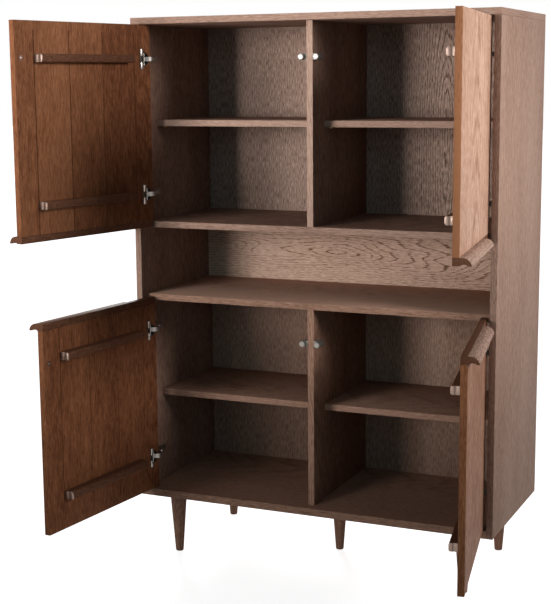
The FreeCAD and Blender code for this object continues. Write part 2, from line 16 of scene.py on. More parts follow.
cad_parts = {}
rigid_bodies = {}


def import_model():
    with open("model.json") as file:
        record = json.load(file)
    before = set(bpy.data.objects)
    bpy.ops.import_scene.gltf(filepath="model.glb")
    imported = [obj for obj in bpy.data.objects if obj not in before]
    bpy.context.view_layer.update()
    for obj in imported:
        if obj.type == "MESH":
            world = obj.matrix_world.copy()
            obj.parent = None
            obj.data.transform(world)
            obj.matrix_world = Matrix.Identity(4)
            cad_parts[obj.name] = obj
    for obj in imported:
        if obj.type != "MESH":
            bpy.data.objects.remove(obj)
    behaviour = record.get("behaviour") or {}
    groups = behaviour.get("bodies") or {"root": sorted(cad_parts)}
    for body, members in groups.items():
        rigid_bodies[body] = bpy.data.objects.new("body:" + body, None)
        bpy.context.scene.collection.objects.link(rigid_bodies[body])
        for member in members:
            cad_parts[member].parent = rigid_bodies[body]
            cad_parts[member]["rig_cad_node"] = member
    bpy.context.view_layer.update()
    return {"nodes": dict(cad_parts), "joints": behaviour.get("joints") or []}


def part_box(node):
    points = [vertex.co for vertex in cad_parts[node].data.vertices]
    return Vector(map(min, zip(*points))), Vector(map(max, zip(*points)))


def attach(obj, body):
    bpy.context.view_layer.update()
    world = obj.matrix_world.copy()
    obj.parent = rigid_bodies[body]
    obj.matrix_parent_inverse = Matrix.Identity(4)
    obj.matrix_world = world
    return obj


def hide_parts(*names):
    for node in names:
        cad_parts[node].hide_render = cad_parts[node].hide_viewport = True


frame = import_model()
scene = bpy.context.scene
joints = {joint["child"]: joint for joint in frame["joints"]}

# %% [markdown]
# ## Selecting one thing at a time
#
# Blender's operators act on everything that is selected. Each step below therefore starts from an empty
# selection, picks one piece, and makes it the active one. Faces and edges are picked the same way, in
# code, by where they are.

# %% Small helpers for selecting


def only(piece):
    """Select one piece and nothing else."""
    for other in bpy.context.selected_objects:
        other.select_set(False)
    piece.select_set(True)
    bpy.context.view_layer.objects.active = piece


def keep_modifier(piece, kind, **settings):
    """Add a modifier, set it up and apply it."""
    only(piece)
    bpy.ops.object.modifier_add(type=kind)
    modifier = piece.modifiers[-1]
    for name, value in settings.items():
        setattr(modifier, name, value)
    bpy.ops.object.modifier_apply(modifier=modifier.name)


def rounded(piece, width, angle, segments=2):
    """Round the edges at which faces meet by more than an angle in degrees."""
    keep_modifier(piece, "BEVEL", width=width, segments=segments, limit_method="ANGLE",
                  angle_limit=math.radians(angle))


def cut_out(piece, tool):
    """Take the shape of a tool out of a piece; the tool itself goes."""
    keep_modifier(piece, "BOOLEAN", object=tool, operation="DIFFERENCE", solver="EXACT")
    bpy.data.objects.remove(tool)


def joined(pieces, name):
    """Join several pieces into one with its own name."""
    only(pieces[0])
    if len(pieces) > 1:
        for piece in pieces:
            piece.select_set(True)
        bpy.ops.object.join()
    result = bpy.context.object
    result.name = name
    result.data.name = name
    return result


# %% [markdown]
# ## Two sets of directions
#
# The carcass stands square in the room, but each door stands open at its own angle. To lay grain along a
# door, or to put a screw at a set distance from its edge, we need the door's own directions: from the hinge
# edge to the free edge, from the outer face to the inner face, and up. The joint in the construction model
# tells where the hinge pin is and how far the door is open.

# %% The directions of the carcass and of each door
MM = 0.001
PIN_TO_EDGE = 15 * MM
HALF_DOOR_BOARD = 8 * MM


def door_frame(body):
    """Matrix from a door's own directions (along, through, up) to the room."""
    joint = joints[body]
    hand = 1 if "left" in body else -1
    opening = -math.radians(joint["range_deg"][0])
    along = Vector((hand * math.cos(opening), -math.sin(opening), 0))
    through = Vector((hand * math.sin(opening), math.cos(opening), 0))
    pin = Vector(joint["pos_m"])
    corner = Vector((pin.x, pin.y, 0)) - along * PIN_TO_EDGE - through * HALF_DOOR_BOARD
    matrix = Matrix.Identity(4)
    for column, axis in enumerate((along, through, Vector((0, 0, 1)))):
        for row in range(3):
            matrix[row][column] = axis[row]
    matrix.translation = corner
    return matrix


body_frame = {"carcass": Matrix.Identity(4)}
for body in joints:
    body_frame[body] = door_frame(body)
DOORS = [body[:-len("_door")] for body in joints]
print("doors:", ", ".join(DOORS))


def own_spots(piece, body):
    """Where the vertices of a piece lie in the directions of its body, a row for each."""
    back = body_frame[body].inverted()
    return np.array([back @ vertex.co for vertex in piece.data.vertices])


def own_box(node, body):
    """Lowest and highest corner of a construction piece in the directions of its body."""
    spots = own_spots(frame["nodes"][node], body)
    return Vector(spots.min(0)), Vector(spots.max(0))


# %% [markdown]
# ## Nodes for a finish
#
# A finish is a small network of nodes. A few helpers keep the networks short: one adds a node and sets its
# inputs, one does a step of arithmetic, one stretches a pattern along the grain, and one turns a value
# into a colour. The last two begin a finish and complete it. Colours are written as they look on screen
# and turned into the linear values that the renderer works with.

# %% Helpers for building finishes


def tint(red, green, blue):
    """Screen colour, 0 to 255, as a linear colour."""
    parts = []
    for value in (red, green, blue):
        share = value / 255
        parts.append(share / 12.92 if share <= 0.04045 else ((share + 0.055) / 1.055) ** 2.4)
    return (*parts, 1)


def give(tree, socket, value):
    """Set an input to a value, or link it to the output of another node."""
    if isinstance(value, bpy.types.NodeSocket):
        tree.links.new(value, socket)
    else:
        socket.default_value = value


def add(tree, kind, settings=None, **inputs):
    """Add a node with its settings and inputs."""
    node = tree.nodes.new("ShaderNode" + kind)
    for name, value in (settings or {}).items():
        setattr(node, name, value)
    for name, value in inputs.items():
        give(tree, node.inputs[name], value)
    return node


def sum_of(tree, operation, first, second=0.0, third=0.0):
    """One step of arithmetic."""
    node = tree.nodes.new("ShaderNodeMath")
    node.operation = operation
    for socket, value in zip(node.inputs, (first, second, third)):
        give(tree, socket, value)
    return node.outputs[0]


def stretched(tree, place, across, through, along):
    """The grain's own coordinates, scaled by so many cycles a metre in each direction."""
    node = add(tree, "VectorMath", {"operation": "MULTIPLY"})
    tree.links.new(place, node.inputs[0])
    node.inputs[1].default_value = (across, through, along)
    return node.outputs[0]


def ramp(tree, value, stops):
    """Colours or greys along a scale from 0 to 1."""
    node = add(tree, "ValToRGB", Fac=value)
    band = node.color_ramp
    while len(band.elements) < len(stops):
        band.elements.new(0.5)
    for element, (spot, colour) in zip(band.elements, stops):
        element.position = spot
        element.color = colour if isinstance(colour, tuple) else (colour, colour, colour, 1)
    return node.outputs["Color"]


def blank_finish(name):
    """A new material, with its network and its main shader."""
    material = bpy.data.materials.new(name)
    material.use_nodes = True
    return material, material.node_tree, material.node_tree.nodes["Principled BSDF"]


def connect(tree, shader, colour, dull, height, strength, depth):
    """Lead a colour, a roughness and a shallow bump into the main shader."""
    bump = add(tree, "Bump", Height=height, Strength=strength, Distance=depth)
    for name, value in (("Base Color", colour), ("Roughness", dull), ("Normal", bump.outputs["Normal"])):
        tree.links.new(value, shader.inputs[name])


# %% [markdown]
# ## Stained oak
#
# Real veneer is a thin slice through a trunk. Where the slice passes near the middle of the trunk the
# growth rings come out as arches, and further away as straight lines. We could paint that look with a
# stretched noise alone, but then every board would look alike. Here the material works out how far each
# point lies from the heart of the trunk, wobbles that distance a little, and draws a ring every few
# millimetres. Each board is told where its heart lies, in an attribute named grain, so the arches run
# up the middle of one board and past the edge of the next.
#
# Oak shows its rings as rows of open pores, so the dark part of each ring is broken into short dashes. The
# first helpers draw those rows. How wide a ring is, and which part of it is dark, can be set for each
# finish, because a back of sliced veneer shows finer lines than a solid board.

# %% Helpers for the rings of the oak
TAPER = 0.09
RING_WAVE_CYCLES = (9, 9, 2.2)
RAGGED_CYCLES = (110, 110, 9)
DASH_CYCLES = (500, 500, 48)


def centred(tree, value, strength, base):
    """Add a layer that is as often lighter as it is darker."""
    return sum_of(tree, "MULTIPLY_ADD", sum_of(tree, "SUBTRACT", value, 0.5), strength, base)


def grain_noise(tree, place, cycles, detail, roughness=0.5):
    """Noise with so many cycles a metre across, through and along the grain."""
    return add(tree, "TexNoise", Vector=stretched(tree, place, *cycles), Scale=1.0,
               Detail=detail, Roughness=roughness).outputs["Fac"]


def from_heart(tree, place, wave):
    """How far each point lies from the heart of the trunk, with a slow wave along the trunk."""
    split = add(tree, "SeparateXYZ", Vector=place)
    across = split.outputs["X"]
    depth = sum_of(tree, "MULTIPLY_ADD", split.outputs["Z"], TAPER, split.outputs["Y"])
    depth = centred(tree, grain_noise(tree, place, RING_WAVE_CYCLES, 2), wave * 2, depth)
    square = sum_of(tree, "MULTIPLY", depth, depth)
    return across, sum_of(tree, "SQRT", sum_of(tree, "MULTIPLY_ADD", across, across, square))


def open_pores(tree, place, ring, line, wave):
    """1 in the open pores at the start of each ring, broken into dashes, and 0 in the dense wood."""
    across, distance = from_heart(tree, place, wave)
    ragged = sum_of(tree, "MULTIPLY", grain_noise(tree, place, RAGGED_CYCLES, 4, 0.6), 0.8)
    share = sum_of(tree, "FRACT", sum_of(tree, "MULTIPLY_ADD", distance, 1 / ring, ragged))
    pores = ramp(tree, share, [(0.0, 1.0), (line * 0.4, 0.8), (line, 0.1), (1 - line * 0.45, 0.0),
                               (1.0, 1.0)])
    dashes = ramp(tree, grain_noise(tree, place, DASH_CYCLES, 2), [(0.42, 0.0), (0.55, 1.0)])
    pores = sum_of(tree, "MULTIPLY", pores, sum_of(tree, "MULTIPLY_ADD", dashes, 0.75, 0.25))
    near = ramp(tree, sum_of(tree, "ABSOLUTE", across), [(0.03, 1.0), (0.13, 0.25)])
    return sum_of(tree, "MULTIPLY", pores, near)


# %% [markdown]
# ## The whole finish
#
# Over the rings go short flecks, longer fibres, patches a few centimetres wide and wide clouds of tone.
# Each layer is centred, so that it makes the wood as often lighter as darker and the stain keeps its
# colour. The sum runs through a ramp of three colours: the stain in the pores, the stain on the plain wood,
# and the palest fibres. The pores and fibres also press into the lacquer as a very shallow bump. The
# lacquer is thin and satin, so its mirror part is kept weak. Otherwise a board that is seen at a low
# angle would turn white.

# %% The wood finish
FLECK_CYCLES = (460, 460, 58)
FIBRE_CYCLES = (620, 620, 22)
PATCH_CYCLES = (60, 60, 13)
CLOUD_CYCLES = (7, 7, 1.6)
LACQUER_BUMP = 0.5
LACQUER_DEPTH = 0.3 * MM
LACQUER_GLINT = 0.04


def wood(name, dark, middle, light, rings=0.4, flecks=0.5, clouds=0.25, mottle=0.0, ring=8 * MM,
         line=0.34, wave=0.02, roughness=0.6):
    """Stained and lacquered oak; rings, flecks, mottle and clouds say how strongly each layer shows."""
    material, tree, shader = blank_finish(name)
    place = add(tree, "Attribute", {"attribute_name": "grain"}).outputs["Vector"]
    tone_and_painted_light = add(tree, "Attribute", {"attribute_name": "tone_and_painted_light"}).outputs["Fac"]

    pores = open_pores(tree, place, ring, line, wave)
    fleck = ramp(tree, grain_noise(tree, place, FLECK_CYCLES, 3, 0.6), [(0.3, 0.0), (0.7, 1.0)])
    fibre = grain_noise(tree, place, FIBRE_CYCLES, 4, 0.7)
    # The first layer is the board's own tone and, on some faces, painted light or painted shade.
    base = sum_of(tree, "ADD", tone_and_painted_light, 0.5 + rings * 0.12)
    tone = sum_of(tree, "MULTIPLY_ADD", pores, -rings, base)
    tone = centred(tree, fleck, flecks, tone)
    tone = centred(tree, fibre, flecks * 0.9, tone)
    tone = centred(tree, grain_noise(tree, place, PATCH_CYCLES, 3, 0.6), mottle * 2, tone)
    tone = centred(tree, grain_noise(tree, place, CLOUD_CYCLES, 2), clouds * 2, tone)
    colour = ramp(tree, tone, [(0.1, dark), (0.5, middle), (0.9, light)])

    dull = sum_of(tree, "MULTIPLY_ADD", fibre, 0.2, roughness - 0.1)
    height = sum_of(tree, "MULTIPLY_ADD", pores, -0.5, sum_of(tree, "MULTIPLY_ADD", fleck, 0.6, fibre))
    connect(tree, shader, colour, dull, height, LACQUER_BUMP, LACQUER_DEPTH)
    shader.inputs["Specular IOR Level"].default_value = LACQUER_GLINT
    return material


# %% [markdown]
# ## One stain on many cuts
#
# The whole cabinet has one brown stain, but it takes differently on each kind of wood. The boards of the
# lower half look warmer than those of the upper half. The thin backs are deeply grained, the niche's back
# is pale with fine dark arches, and the planks inside the doors are a deep red brown. The outside of the
# doors is a paler veneer, the battens are the darkest, and the dowels are plain beech.

# %% Every wood of the cabinet
carcass_wood = wood("carcass_wood", tint(110, 83, 70), tint(152, 121, 105), tint(180, 149, 132),
                    rings=0.3)
lower_wood = wood("lower_wood", tint(110, 79, 63), tint(152, 116, 97), tint(180, 144, 124), rings=0.3)
inside_wood = wood("inside_wood", tint(78, 60, 51), tint(134, 109, 96), tint(178, 150, 135),
                   rings=0.65, flecks=0.75, ring=6.5 * MM, line=0.26)
lower_back_wood = wood("lower_back_wood", tint(76, 53, 43), tint(132, 102, 86), tint(176, 144, 126),
                       rings=0.5, ring=6.5 * MM, line=0.26)
plank_wood = wood("plank_wood", tint(92, 53, 34), tint(126, 79, 52), tint(158, 105, 73),
                  rings=0.3, flecks=0.6, clouds=0.3, mottle=0.3)
outer_wood = wood("outer_wood", tint(122, 80, 57), tint(174, 134, 112), tint(210, 174, 152),
                  rings=0.45, flecks=0.7, mottle=0.25, ring=9 * MM, line=0.3)
rail_wood = wood("rail_wood", tint(112, 83, 68), tint(154, 123, 107), tint(184, 153, 136),
                 rings=0.3, flecks=0.9)
batten_wood = wood("batten_wood", tint(66, 42, 30), tint(96, 62, 45), tint(126, 88, 67), rings=0.15)
leg_wood = wood("leg_wood", tint(104, 74, 59), tint(144, 107, 88), tint(170, 132, 112), rings=0.25)
niche_wood = wood("niche_wood", tint(104, 72, 56), tint(184, 150, 130), tint(216, 184, 164),
                  rings=0.55, ring=6 * MM, line=0.2, wave=0.06)
beech = wood("beech", tint(176, 134, 92), tint(206, 168, 122), tint(226, 192, 150))
woods = (carcass_wood, lower_wood, inside_wood, lower_back_wood, plank_wood, outer_wood, rail_wood,
         batten_wood, leg_wood, niche_wood, beech)
print("woods:", ", ".join(finish.name for finish in woods))

# %% [markdown]
# ## Nickel and steel
#
# The screw heads and flange ears are bright nickel. The hinge arms and cups, the catches and the end caps
# are the same plating on pressed or cast metal, a little rougher; each has a darker grey of its own, as
# painted shade that dims its reflections.
# Plating is a mirror with a soft haze. The finish is therefore a full metal whose roughness drifts
# slightly, with fine handling marks in it. The bronze strikes, the dark screws of the battens and the
# brass pins are the same idea with other colours.

# %% The metal finish
HAZE_CYCLES = (160, 160, 160)
MARK_CYCLES = (300, 2600, 2600)
MARK_BUMP = 0.12
MARK_DEPTH = 0.05 * MM
PALER = 1.12


def metal(name, colour, roughness, marks=0.12):
    """Plated or plain metal with a faint haze."""
    material, tree, shader = blank_finish(name)
    shader.inputs["Metallic"].default_value = 1.0
    place = add(tree, "TexCoord").outputs["Object"]
    haze = grain_noise(tree, place, HAZE_CYCLES, 3)
    scratch = grain_noise(tree, place, MARK_CYCLES, 2)
    paler = tuple(min(1.0, part * PALER) for part in colour[:3]) + (1,)
    shade = ramp(tree, haze, [(0.3, colour), (0.7, paler)])
    dull = sum_of(tree, "MULTIPLY_ADD", scratch, marks, roughness)
    connect(tree, shader, shade, dull, scratch, MARK_BUMP, MARK_DEPTH)
    return material


nickel = metal("nickel", tint(206, 196, 188), 0.3)
steel = metal("steel", tint(176, 172, 166), 0.3)
# Darker copies of the nickel, as painted shade that dims the reflections of the arms, plates, cups,
# magnets, catches and caps.
shaded_hinge_metal = metal("shaded_hinge_metal", tint(136, 130, 124), 0.36)
shaded_cup_metal = metal("shaded_cup_metal", tint(110, 104, 98), 0.32)
shaded_catch_metal = metal("shaded_catch_metal", tint(112, 108, 103), 0.58)
cap_metal = metal("cap_metal", tint(134, 114, 103), 0.38)
bronze = metal("bronze", tint(112, 84, 72), 0.4)
dark_screw = metal("dark_screw", tint(52, 44, 40), 0.45)
brass = metal("brass", tint(196, 160, 96), 0.35)
metals = (nickel, steel, shaded_hinge_metal, shaded_cup_metal, shaded_catch_metal, cap_metal, bronze, dark_screw, brass)
print("metals:", ", ".join(finish.name for finish in metals))

# %% [markdown]
# ## Boards with eased edges
#
# A joiner takes the sharpness off every edge with a few strokes of sandpaper. At this scale that is less
# than a millimetre, but it is what catches the light along a shelf's front edge. We could model every
# board again from a box. It is better to copy the construction piece, because it already has the grooves
# for the backs, the holes for the pins and the cups, and the V grooves of the doors. The copy's loose
# triangles are merged, its flat faces are made whole again, and then the long outer edges get a small
# bevel. Last, the copy learns where its grain runs.

# %% Copy a construction piece and ease its edges
EASE = 0.8 * MM
SAME_POINT = 0.005 * MM
SAME_PLANE = math.radians(0.5)
ON_THE_SIDE = 0.02 * MM


def copy_of(node, name):
    """A copy of a construction piece, with its triangles merged into whole faces."""
    only(frame["nodes"][node])
    bpy.ops.object.duplicate()
    piece = bpy.context.object
    piece.name = name
    piece.data.name = name
    bpy.ops.object.parent_clear(type="CLEAR_KEEP_TRANSFORM")
    del piece["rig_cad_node"]
    piece.data.materials.clear()
    bpy.ops.object.mode_set(mode="EDIT")
    bpy.ops.mesh.select_all(action="SELECT")
    bpy.ops.mesh.customdata_custom_splitnormals_clear()
    bpy.ops.mesh.remove_doubles(threshold=SAME_POINT)
    bpy.ops.mesh.dissolve_limited(angle_limit=SAME_PLANE)
    bpy.ops.object.mode_set(mode="OBJECT")
    return piece


def ease_arrises(piece, body):
    """Bevel the long outer edges, found as those that lie on two sides of the piece's own box."""
    spots = own_spots(piece, body)
    low, high = spots.min(0), spots.max(0)
    on_side = np.hstack([np.abs(spots - low) < ON_THE_SIDE, np.abs(spots - high) < ON_THE_SIDE])
    only(piece)
    bpy.ops.object.mode_set(mode="EDIT")
    bpy.ops.mesh.select_all(action="DESELECT")
    bpy.ops.object.mode_set(mode="OBJECT")
    for edge in piece.data.edges:
        first, second = edge.vertices
        edge.select = int((on_side[first] & on_side[second]).sum()) == 2
    bpy.ops.object.mode_set(mode="EDIT")
    bpy.ops.mesh.select_mode(type="EDGE")
    bpy.ops.mesh.bevel(offset=EASE, offset_type="OFFSET", segments=2, affect="EDGES")
    bpy.ops.object.mode_set(mode="OBJECT")
    return piece


def smooth(piece, angle=35):
    """Round faces shade as round and flat ones stay flat."""
    only(piece)
    bpy.ops.object.shade_smooth_by_angle(angle=math.radians(angle))
    return piece


# %% [markdown]
# ## Laying the grain
#
# The grain attribute holds, for each corner of each face, the place in the trunk that the wood was cut
# from: across the board, through it, and along it. The order of the three directions turns the grain, and
# the place of the heart decides between arches and straight lines. A second attribute makes a board a
# little lighter or darker than its neighbour, as stain does on different cuts. It can also be given to
# the faces of a board that look one way, and there it is painted light or painted shade: a side made
# lighter or darker for how the lamps fall on it.

# %% Give a piece its grain
ORDER = {
    "upright_facing_side": (1, 0, 2),
    "upright_facing_front": (0, 1, 2),
    "lying_across": (1, 2, 0),
    "across_facing_front": (2, 1, 0),
}
FACES_THAT_WAY = 0.9


def lay_grain(piece, body, order, heart=0.0, depth=0.06, shift=0.0, tone=0.0):
    """Store the grain's own coordinates; heart is where the arches run, depth how far behind the face."""
    tones = piece.data.attributes.new("tone_and_painted_light", "FLOAT", "CORNER")
    tones.data.foreach_set("value", np.full(len(piece.data.loops), tone, dtype=np.float32))
    own = own_spots(piece, body)[:, list(ORDER[order])]
    own[:, 0] -= heart
    own[:, 1] += depth
    own[:, 2] += shift
    layer = piece.data.attributes.new("grain", "FLOAT_VECTOR", "CORNER")
    corners = np.zeros(len(piece.data.loops), dtype=int)
    piece.data.loops.foreach_get("vertex_index", corners)
    layer.data.foreach_set("vector", own[corners].astype(np.float32).ravel())
    return piece


def tone_face(piece, face, tone):
    """Give one face a tone of its own."""
    tones = piece.data.attributes["tone_and_painted_light"].data
    for corner in face.loop_indices:
        tones[corner].value = tone


def tone_faces(piece, facing, tone):
    """Give the faces that look one way a tone of their own: painted light or painted shade on that side."""
    for face in piece.data.polygons:
        if face.normal.dot(facing) > FACES_THAT_WAY:
            tone_face(piece, face, tone)


def finish_piece(piece, body, material, slot, *nodes):
    """Paint a piece, hang it on its body and let it stand for its construction pieces."""
    piece.data.materials.clear()
    piece.data.materials.append(material)
    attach(piece, body)
    if nodes:
        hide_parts(*nodes)
    return piece


def board(node, body, order, material, slot, **grain):
    """A board from its construction piece: eased, with its grain laid and its finish on."""
    piece = ease_arrises(copy_of(node, node + "_board"), body)
    smooth(piece)
    lay_grain(piece, body, order, **grain)
    return finish_piece(piece, body, material, slot, node)


# %% [markdown]
# ## The carcass
#
# The two sides and the two partitions stand with upright grain, and so do the thin backs behind the
# doors. The top, the floors and the shelves have grain that runs from left to right, and so has the
# thicker back of the niche, which shows wide arches lying on their side. Each board starts at another
# place in the trunk. From the niche's floor down, the boards get the warmer stain. A few faces have a
# tone of their own, as painted light and painted shade: painted shade on the faces inside the cupboards
# that look right and on the right side's front edge, and painted light or shade on the upward faces and
# the front edges, for how the lamps fall on them.

# %% The sides
UP, FRONT, RIGHT = Vector((0, 0, 1)), Vector((0, -1, 0)), Vector((1, 0, 0))
# Painted shade on the faces inside the cupboards that look right, where the lamps don't reach.
INSIDE_PAINTED_SHADE = -0.25
left_side = board("left_side", "carcass", "upright_facing_side", carcass_wood, "carcass_veneer",
                  heart=-0.3, shift=3.1)
tone_faces(left_side, RIGHT, INSIDE_PAINTED_SHADE)
right_side = board("right_side", "carcass", "upright_facing_side", carcass_wood, "carcass_veneer",
                   heart=0.45, shift=9.4)
# Painted shade on the right side's front edge, which the open upper right door shades.
tone_faces(right_side, FRONT, -0.2)

# %% The boards that lie across
# Painted light and painted shade on the upward faces of the boards that lie across, lighter or darker for
# how the lamps fall on them.
UP_FACE_LIGHT_AND_SHADE = {"top_panel": 0.1, "upper_floor": -0.3, "niche_floor": 0.35, "bottom_panel": 0.0}
# Painted shade on the front edges of the niche's floor and the bottom, low down where less light falls.
LOWER_EDGE_PAINTED_SHADE = -0.15
for number, name in enumerate(UP_FACE_LIGHT_AND_SHADE):
    low_down = name in ("niche_floor", "bottom_panel")
    piece = board(name, "carcass", "lying_across", lower_wood if low_down else carcass_wood,
                  "carcass_veneer", heart=-0.1 + 0.07 * number, shift=2.3 * number)
    tone_faces(piece, UP, UP_FACE_LIGHT_AND_SHADE[name])
    tone_faces(piece, FRONT, LOWER_EDGE_PAINTED_SHADE if low_down else 0.0)
    print(name, "is", round(max(piece.dimensions) / MM), "mm long")

# %% The partitions
# The last number of each row is painted light on the upper partition's front edge and painted shade on the
# lower one's.
PARTITIONS = (("upper_partition", carcass_wood, 0.0, 0.3), ("lower_partition", lower_wood, 5.7, -0.05))
for name, stain, shift, edge_light_and_shade in PARTITIONS:
    piece = board(name, "carcass", "upright_facing_side", stain, "carcass_veneer", heart=-0.25, shift=shift)
    tone_faces(piece, FRONT, edge_light_and_shade)
    tone_faces(piece, RIGHT, INSIDE_PAINTED_SHADE)

# %% The backs
board("upper_back", "carcass", "upright_facing_front", inside_wood, "back_veneer",
      heart=0.24, depth=-0.285)
board("lower_back", "carcass", "upright_facing_front", lower_back_wood, "back_veneer",
      heart=0.9, depth=-0.2, shift=4.0, tone=0.03)
board("niche_back", "carcass", "across_facing_front", niche_wood, "back_veneer",
      heart=0.82, depth=-0.13)

# %% The shelves
# Painted light on the front edge of the upper left shelf; the other shelf edges keep their plain tone.
SHELF_EDGE_PAINTED_LIGHT = {"upper_left_shelf": 0.15, "upper_right_shelf": 0.0, "lower_left_shelf": 0.0,
              "lower_right_shelf": 0.0}
for number, name in enumerate(SHELF_EDGE_PAINTED_LIGHT):
    stain = lower_wood if name.startswith("lower") else carcass_wood
    piece = board(name, "carcass", "lying_across", stain, "shelf_veneer", heart=-0.02,
                  shift=1.7 * number)
    tone_faces(piece, FRONT, SHELF_EDGE_PAINTED_LIGHT[name])

# %% [markdown]
# ## The doors
#
# Each door looks like three planks between two stiles: four V grooves run up the inner face and stop just
# short of one end. The construction piece has the grooves. Each strip between them gets wood from another
# part of the trunk, so that the planks differ a little, as they do on the real door. To do that, the
# panel is cut along the bottom of each groove, which adds edges but changes no shape, and then every
# strip shifts its grain by its own amount. The strips' tones also hold painted shade: darker towards the
# hinge, and darker on the lower doors. The slopes of the grooves are painted darker, as painted shade in
# the grooves. The outside is one sheet of paler veneer, with painted light on the upper doors and painted
# shade on the lower ones. The free edge, which faces the room when the door stands open, has painted
# light on the upper right door and painted shade on the left doors.

# %% The tones of the door panels
STILE = 62 * MM
PLANKS = 3
# Tones from the hinge stile to the free stile: each plank's own tone, with painted shade darker towards the
# hinge and on the lower doors.
PLANK_TONE_AND_SHADE = {"upper": (-0.2, -0.25, 0.0, 0.2, 0.0), "lower": (-0.15, -0.15, -0.1, -0.1, -0.1)}
STRIP_SHIFTS = (0.2, 0.5, 0.42, 0.36, -0.1)
# Painted light on the upper doors' outer faces and painted shade on the lower doors' outer faces.
OUTER_FACE_LIGHT_AND_SHADE = {"upper": 0.05, "lower": -0.32}
# Painted light on the upper right door's free edge and painted shade on the left doors' free edges.
FREE_EDGE_LIGHT_AND_SHADE = {"upper_left": -0.1, "upper_right": 0.5, "lower_left": -0.1, "lower_right": 0.0}
# Painted shade on the slopes of the grooves.
GROOVE_PAINTED_SHADE = -0.5
STRIP_LIFT = 2.9
LOOKS_OUT = -0.5
GROOVE_SLOPE = (0.3, 0.95)
BELOW_INNER_FACE = 0.2 * MM
AT_FREE_EDGE = 1 * MM
ALONG, THROUGH = 0, 1


def split_faces(piece, body, along, axis):
    """Add edges where a plane that faces one of the door's own directions meets its piece."""
    matrix = body_frame[body]
    only(piece)
    bpy.ops.object.mode_set(mode="EDIT")
    bpy.ops.mesh.select_all(action="SELECT")
    bpy.ops.mesh.bisect(plane_co=matrix @ Vector((along, 0, 0)), plane_no=matrix.col[axis].to_3d())
    bpy.ops.object.mode_set(mode="OBJECT")


def stain_strips(piece, door, grooves, high):
    """Give each face of a door panel its tone, with painted light and shade, and each strip of the inner
    face its own cut of wood.
    """
    back = body_frame[door + "_door"].inverted()
    turn = back.to_3x3()
    layer = piece.data.attributes["grain"].data
    height = door.split("_")[0]
    for face in piece.data.polygons:
        centre = back @ face.center
        facing = turn @ face.normal
        if facing.y < LOOKS_OUT:
            tone_face(piece, face, OUTER_FACE_LIGHT_AND_SHADE[height])
        if facing.x > FACES_THAT_WAY and centre.x > high.x - AT_FREE_EDGE:
            tone_face(piece, face, FREE_EDGE_LIGHT_AND_SHADE[door])
        if centre.y < HALF_DOOR_BOARD or facing.x > FACES_THAT_WAY:
            continue
        strip = sum(centre.x > spot for spot in grooves)
        slopes = GROOVE_SLOPE[0] < abs(facing.x) < GROOVE_SLOPE[1]
        in_groove = centre.y < high.y - BELOW_INNER_FACE and slopes
        tone_face(piece, face, GROOVE_PAINTED_SHADE if in_groove else PLANK_TONE_AND_SHADE[height][strip])
        for corner in face.loop_indices:
            layer[corner].vector += Vector((STRIP_SHIFTS[strip], 0, STRIP_LIFT * strip))


# %% The door panels


def second_finish(piece, material, chosen):
    """Paint the chosen faces with a second finish."""
    piece.data.materials.append(material)
    for face, is_chosen in zip(piece.data.polygons, chosen):
        face.material_index = int(is_chosen)


def door_panel(door):
    """A door panel with another cut of veneer on each plank of its inner face."""
    body = door + "_door"
    node = door + "_door_panel"
    low, high = own_box(node, body)
    piece = ease_arrises(copy_of(node, door + "_panel"), body)
    plank = (high.x - low.x - 2 * STILE) / PLANKS
    grooves = [STILE + line * plank for line in range(PLANKS + 1)]
    for spot in grooves:
        split_faces(piece, body, spot, ALONG)
    smooth(piece)
    lay_grain(piece, body, "upright_facing_front", heart=0.24, depth=0.12, shift=1.3 * DOORS.index(door))
    stain_strips(piece, door, grooves, high)
    turn = body_frame[body].inverted().to_3x3()
    outer = [(turn @ face.normal).y < LOOKS_OUT for face in piece.data.polygons]
    finish_piece(piece, body, plank_wood, "door_veneer", node)
    second_finish(piece, outer_wood, outer)
    print(door, "panel: planks", round(plank / MM, 1), "mm wide between stiles of", round(STILE / MM), "mm")


for door in DOORS:
    door_panel(door)

# %% [markdown]
# ## Handle rails and battens
#
# A rail of solid wood runs along the edge of each door that faces the niche. It swells into a lip that
# curves out and down, for the fingers. Its grain runs along it. The lip has the pale stain of the outside;
# the part of the rail behind the panel's outer face, and both of its ends, get the battens' dark finish as
# painted shade. The rail is therefore cut along the plane of that face, and its faces are painted by where
# they lie. Two battens hold each panel flat on the inside, and a metal cap closes the free end of each.

# %% The handle rails
for door in DOORS:
    body = door + "_door"
    rail = copy_of(door + "_handle_rail", door + "_rail")
    rounded(rail, EASE, 40)
    smooth(rail, 30)
    split_faces(rail, body, 0, THROUGH)
    lay_grain(rail, body, "across_facing_front", depth=0.09, shift=1.9 * DOORS.index(door))
    back = body_frame[body].inverted()
    turn = back.to_3x3()
    # The rail's ends and its part behind the outer face get the battens' dark finish, as painted shade.
    dark = []
    for face in rail.data.polygons:
        at_end = abs((turn @ face.normal).x) > FACES_THAT_WAY
        dark.append(at_end or (back @ face.center).y > 0)
    finish_piece(rail, body, rail_wood, "rail_wood", door + "_handle_rail")
    second_finish(rail, batten_wood, dark)
    print(door, "rail:", sum(dark), "dark faces of", len(dark))

# %% The battens and their end caps
for door in DOORS:
    body = door + "_door"
    for height in ("top", "bottom"):
        node = "%s_%s_batten" % (door, height)
        batten = copy_of(node, node + "_bar")
        rounded(batten, EASE / 2, 50)
        smooth(batten, 30)
        lay_grain(batten, body, "across_facing_front", depth=0.07, shift=0.8 * DOORS.index(door))
        finish_piece(batten, body, batten_wood, "batten_wood", node)
    caps = copy_of(door + "_batten_caps", door + "_caps")
    rounded(caps, EASE / 2, 50)
    smooth(caps, 30)
    finish_piece(caps, body, cap_metal, "cap_metal", door + "_batten_caps")

